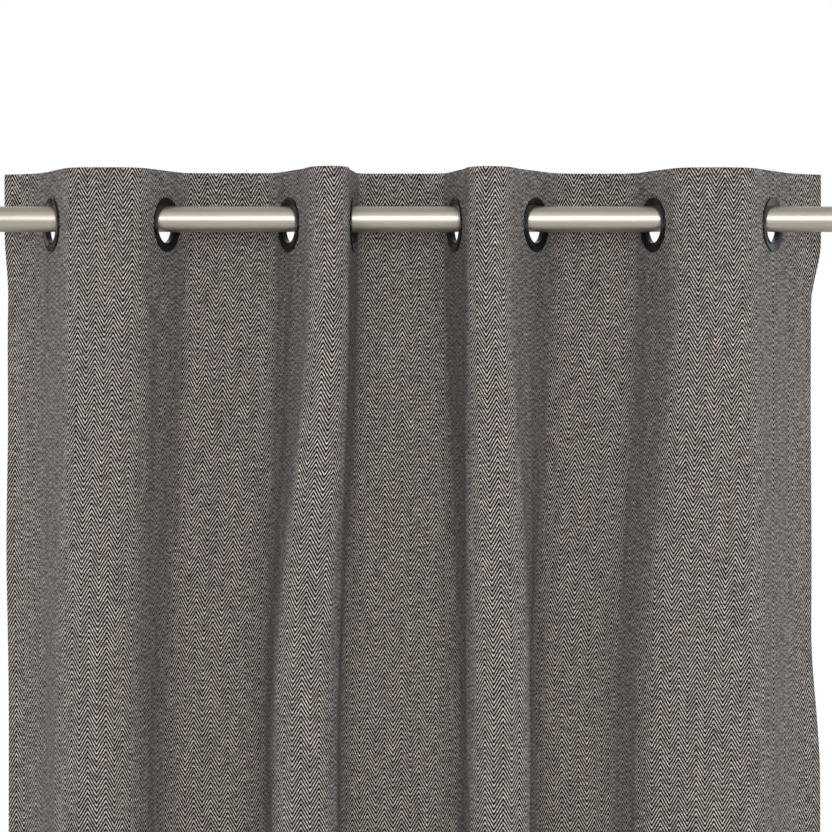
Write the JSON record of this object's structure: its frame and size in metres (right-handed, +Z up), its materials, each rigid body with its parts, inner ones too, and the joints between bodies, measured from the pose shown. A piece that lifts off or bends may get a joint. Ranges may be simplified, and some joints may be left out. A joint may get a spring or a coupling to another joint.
{
  "type": "eyelet curtain panel",
  "caption": "Herringbone cloth curtain panel with a stiffened eyelet heading, hung in soft vertical folds and drawn sideways along a pole.",
  "frame": {"origin": "on the axis of the pole that the eyelets are threaded on, midway between the outer eyelets", "axes": "+X along the pole, to the right seen from the room; -Y out of the face of the cloth, into the room; +Z up"},
  "size_m": [0.9049, 0.1535, 2.4],
  "materials": {
    "herringbone_cloth": "woven herringbone, cream and charcoal yarn, matte",
    "heading_stiffener": "non-woven buckram, matte",
    "eyelet_metal": "gunmetal, glossy",
    "label": "satin tape, blank"
  },
  "bodies": {
    "fold_1": {"heading_face_cloth_1": "herringbone_cloth", "heading_turn_over_1": "herringbone_cloth", "heading_stiffener_1": "heading_stiffener", "drop_cloth_1": "herringbone_cloth", "bottom_hem_1": "herringbone_cloth", "side_hem_left": "herringbone_cloth", "care_label": "label"},
    "eyelet_1": {"eyelet_front_ring_1": "eyelet_metal", "eyelet_back_ring_1": "eyelet_metal"},
    "fold_2": {"heading_face_cloth_2": "herringbone_cloth", "heading_turn_over_2": "herringbone_cloth", "heading_stiffener_2": "heading_stiffener", "drop_cloth_2": "herringbone_cloth", "bottom_hem_2": "herringbone_cloth"},
    "eyelet_2": {"eyelet_front_ring_2": "eyelet_metal", "eyelet_back_ring_2": "eyelet_metal"},
    "fold_3": {"heading_face_cloth_3": "herringbone_cloth", "heading_turn_over_3": "herringbone_cloth", "heading_stiffener_3": "heading_stiffener", "drop_cloth_3": "herringbone_cloth", "bottom_hem_3": "herringbone_cloth"},
    "eyelet_3": {"eyelet_front_ring_3": "eyelet_metal", "eyelet_back_ring_3": "eyelet_metal"},
    "fold_4": {"heading_face_cloth_4": "herringbone_cloth", "heading_turn_over_4": "herringbone_cloth", "heading_stiffener_4": "heading_stiffener", "drop_cloth_4": "herringbone_cloth", "bottom_hem_4": "herringbone_cloth"},
    "eyelet_4": {"eyelet_front_ring_4": "eyelet_metal", "eyelet_back_ring_4": "eyelet_metal"},
    "fold_5": {"heading_face_cloth_5": "herringbone_cloth", "heading_turn_over_5": "herringbone_cloth", "heading_stiffener_5": "heading_stiffener", "drop_cloth_5": "herringbone_cloth", "bottom_hem_5": "herringbone_cloth"},
    "eyelet_5": {"eyelet_front_ring_5": "eyelet_metal", "eyelet_back_ring_5": "eyelet_metal"},
    "fold_6": {"heading_face_cloth_6": "herringbone_cloth", "heading_turn_over_6": "herringbone_cloth", "heading_stiffener_6": "heading_stiffener", "drop_cloth_6": "herringbone_cloth", "bottom_hem_6": "herringbone_cloth"},
    "eyelet_6": {"eyelet_front_ring_6": "eyelet_metal", "eyelet_back_ring_6": "eyelet_metal"},
    "fold_7": {"heading_face_cloth_7": "herringbone_cloth", "heading_turn_over_7": "herringbone_cloth", "heading_stiffener_7": "heading_stiffener", "drop_cloth_7": "herringbone_cloth", "bottom_hem_7": "herringbone_cloth"},
    "eyelet_7": {"eyelet_front_ring_7": "eyelet_metal", "eyelet_back_ring_7": "eyelet_metal"},
    "fold_8": {"heading_face_cloth_8": "herringbone_cloth", "heading_turn_over_8": "herringbone_cloth", "heading_stiffener_8": "heading_stiffener", "drop_cloth_8": "herringbone_cloth", "bottom_hem_8": "herringbone_cloth", "side_hem_right": "herringbone_cloth"},
    "eyelet_8": {"eyelet_front_ring_8": "eyelet_metal", "eyelet_back_ring_8": "eyelet_metal"}
  },
  "joints": [
    {"name": "draw_fold_2", "type": "slide", "parent": "fold_1", "child": "fold_2", "axis": [-1, 0, 0], "range_m": [0, 0.0916], "deforming": ["heading_face_cloth_2", "heading_turn_over_2", "heading_stiffener_2", "drop_cloth_2", "bottom_hem_2"]},
    {"name": "draw_fold_3", "type": "slide", "parent": "fold_1", "child": "fold_3", "axis": [-1, 0, 0], "range_m": [0, 0.1943], "deforming": ["heading_face_cloth_3", "heading_turn_over_3", "heading_stiffener_3", "drop_cloth_3", "bottom_hem_3"]},
    {"name": "draw_fold_4", "type": "slide", "parent": "fold_1", "child": "fold_4", "axis": [-1, 0, 0], "range_m": [0, 0.2446], "deforming": ["heading_face_cloth_4", "heading_turn_over_4", "heading_stiffener_4", "drop_cloth_4", "bottom_hem_4"]},
    {"name": "draw_fold_5", "type": "slide", "parent": "fold_1", "child": "fold_5", "axis": [-1, 0, 0], "range_m": [0, 0.3301], "deforming": ["heading_face_cloth_5", "heading_turn_over_5", "heading_stiffener_5", "drop_cloth_5", "bottom_hem_5"]},
    {"name": "draw_fold_6", "type": "slide", "parent": "fold_1", "child": "fold_6", "axis": [-1, 0, 0], "range_m": [0, 0.3938], "deforming": ["heading_face_cloth_6", "heading_turn_over_6", "heading_stiffener_6", "drop_cloth_6", "bottom_hem_6"]},
    {"name": "draw_fold_7", "type": "slide", "parent": "fold_1", "child": "fold_7", "axis": [-1, 0, 0], "range_m": [0, 0.4921], "deforming": ["heading_face_cloth_7", "heading_turn_over_7", "heading_stiffener_7", "drop_cloth_7", "bottom_hem_7"]},
    {"name": "draw", "type": "slide", "parent": "fold_1", "child": "fold_8", "axis": [-1, 0, 0], "range_m": [0, 0.5873], "deforming": ["heading_face_cloth_8", "heading_turn_over_8", "heading_stiffener_8", "drop_cloth_8", "bottom_hem_8", "side_hem_right", "heading_face_cloth_1", "heading_turn_over_1", "heading_stiffener_1", "drop_cloth_1", "bottom_hem_1", "side_hem_left", "care_label"]},
    {"name": "eyelet_turn_1", "type": "hinge", "parent": "fold_1", "child": "eyelet_1", "pos_m": [-0.3915, 0, 0], "axis": [0, 0, -1], "range_deg": [0, 15.75]},
    {"name": "eyelet_turn_2", "type": "hinge", "parent": "fold_2", "child": "eyelet_2", "pos_m": [-0.2695, 0, 0], "axis": [0, 0, 1], "range_deg": [0, 17.8]},
    {"name": "eyelet_turn_3", "type": "hinge", "parent": "fold_3", "child": "eyelet_3", "pos_m": [-0.1325, 0, 0], "axis": [0, 0, -1], "range_deg": [0, 17.52]},
    {"name": "eyelet_turn_4", "type": "hinge", "parent": "fold_4", "child": "eyelet_4", "pos_m": [-0.0655, 0, 0], "axis": [0, 0, 1], "range_deg": [0, 4.58]},
    {"name": "eyelet_turn_5", "type": "hinge", "parent": "fold_5", "child": "eyelet_5", "pos_m": [0.0485, 0, 0], "axis": [0, 0, -1], "range_deg": [0, 10.82]},
    {"name": "eyelet_turn_6", "type": "hinge", "parent": "fold_6", "child": "eyelet_6", "pos_m": [0.1335, 0, 0], "axis": [0, 0, 1], "range_deg": [0, 20.44]},
    {"name": "eyelet_turn_7", "type": "hinge", "parent": "fold_7", "child": "eyelet_7", "pos_m": [0.2645, 0, 0], "axis": [0, 0, -1], "range_deg": [0, 16.96]},
    {"name": "eyelet_turn_8", "type": "hinge", "parent": "fold_8", "child": "eyelet_8", "pos_m": [0.3915, 0, 0], "axis": [0, 0, 1], "range_deg": [0, 19.34]}
  ],
  "couplings": [
    {"joint": "draw_fold_2", "follows": "draw", "ratio": 0.15581},
    {"joint": "draw_fold_3", "follows": "draw", "ratio": 0.33078},
    {"joint": "draw_fold_4", "follows": "draw", "ratio": 0.41635},
    {"joint": "draw_fold_5", "follows": "draw", "ratio": 0.56194},
    {"joint": "draw_fold_6", "follows": "draw", "ratio": 0.6705},
    {"joint": "draw_fold_7", "follows": "draw", "ratio": 0.8378},
    {"joint": "eyelet_turn_1", "follows": "draw", "rad_per_m": 0.46755},
    {"joint": "eyelet_turn_2", "follows": "draw", "rad_per_m": 0.52866},
    {"joint": "eyelet_turn_3", "follows": "draw", "rad_per_m": 0.52029},
    {"joint": "eyelet_turn_4", "follows": "draw", "rad_per_m": 0.1358},
    {"joint": "eyelet_turn_5", "follows": "draw", "rad_per_m": 0.32097},
    {"joint": "eyelet_turn_6", "follows": "draw", "rad_per_m": 0.60708},
    {"joint": "eyelet_turn_7", "follows": "draw", "rad_per_m": 0.5035},
    {"joint": "eyelet_turn_8", "follows": "draw", "rad_per_m": 0.57432}
  ]
}
